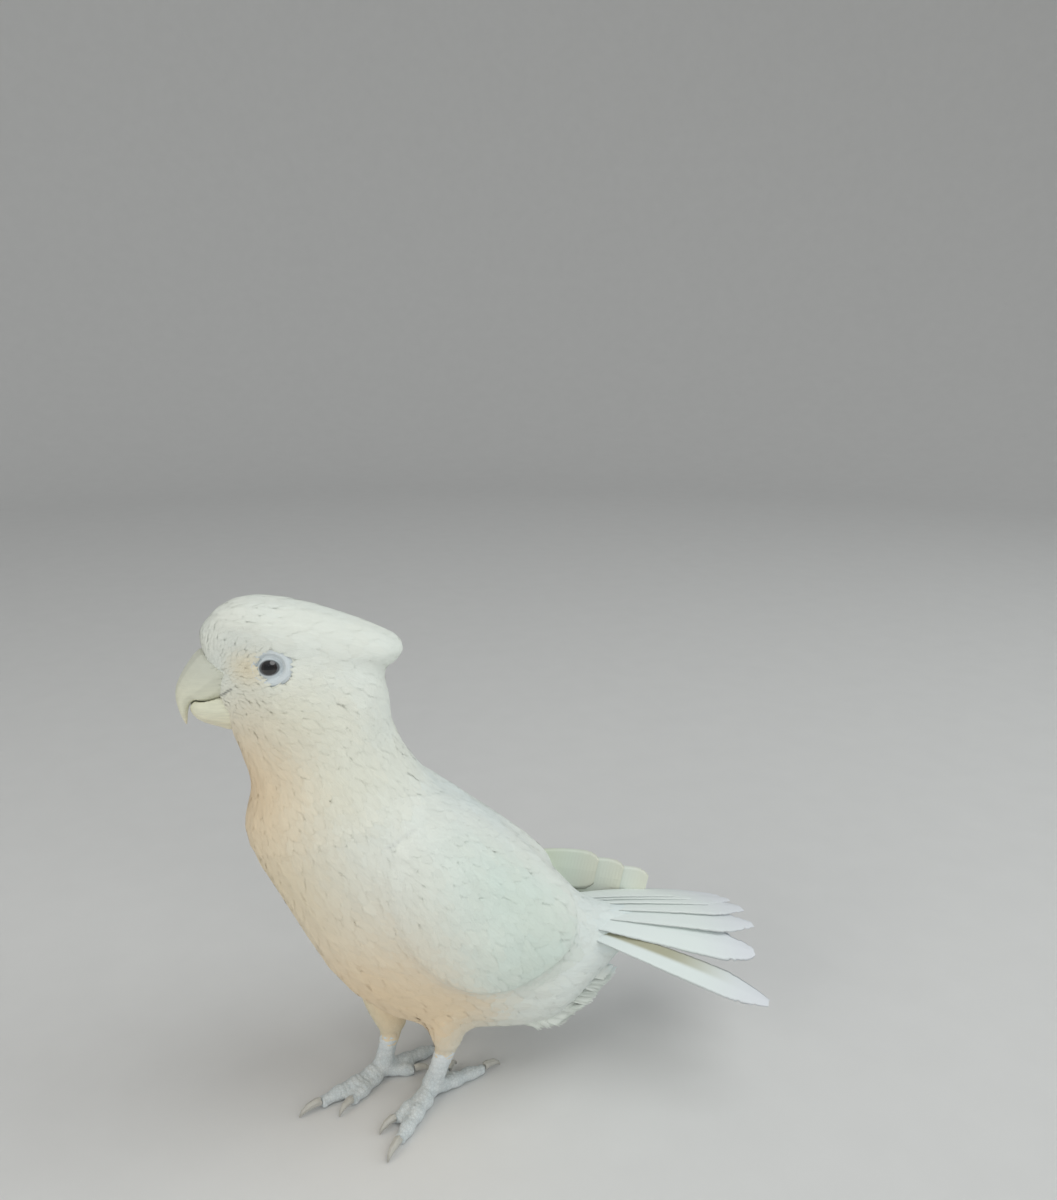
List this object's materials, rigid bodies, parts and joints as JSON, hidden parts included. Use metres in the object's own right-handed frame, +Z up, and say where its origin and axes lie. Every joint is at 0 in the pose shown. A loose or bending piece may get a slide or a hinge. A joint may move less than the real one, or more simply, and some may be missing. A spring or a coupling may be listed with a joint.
{
  "type": "standing cockatoo model",
  "caption": "Life-size standing white cockatoo with a short swept-back crest, closed clipped wings and a half-fanned tail, for display.",
  "frame": {"origin": "middle of the bounding box at floor level, between the feet and the tail", "axes": "+Z up, the bird faces -Y with its tail towards +Y, +X is the bird's left side"},
  "size_m": [0.0956, 0.245, 0.2226],
  "materials": {
    "plumage": "matt white body feathers",
    "flight_feathers": "silky white wing and tail feathers, yellow-washed on the inner vanes",
    "bill": "pale horn",
    "eye": "wet dark eye",
    "foot_skin": "pale grey scaled skin",
    "claw": "grey horn"
  },
  "bodies": {
    "root": {"bill_lower": "bill", "bill_upper": "bill", "claw_left_back_inner": "claw", "claw_left_back_outer": "claw", "claw_left_front_inner": "claw", "claw_left_front_outer": "claw", "claw_right_back_inner": "claw", "claw_right_back_outer": "claw", "claw_right_front_inner": "claw", "claw_right_front_outer": "claw", "crest": "plumage", "eye_left": "eye", "eye_right": "eye", "flight_right": "flight_feathers", "head": "plumage", "neck": "plumage", "tail": "flight_feathers", "tail_splayed_left": "flight_feathers", "tarsus_left": "foot_skin", "tarsus_right": "foot_skin", "thigh_left": "plumage", "thigh_right": "plumage", "toe_left_back_inner": "foot_skin", "toe_left_back_outer": "foot_skin", "toe_left_front_inner": "foot_skin", "toe_left_front_outer": "foot_skin", "toe_right_back_inner": "foot_skin", "toe_right_back_outer": "foot_skin", "toe_right_front_inner": "foot_skin", "toe_right_front_outer": "foot_skin", "trunk": "plumage", "wing_left": "plumage", "wing_right": "plumage"}
  },
  "joints": []
}
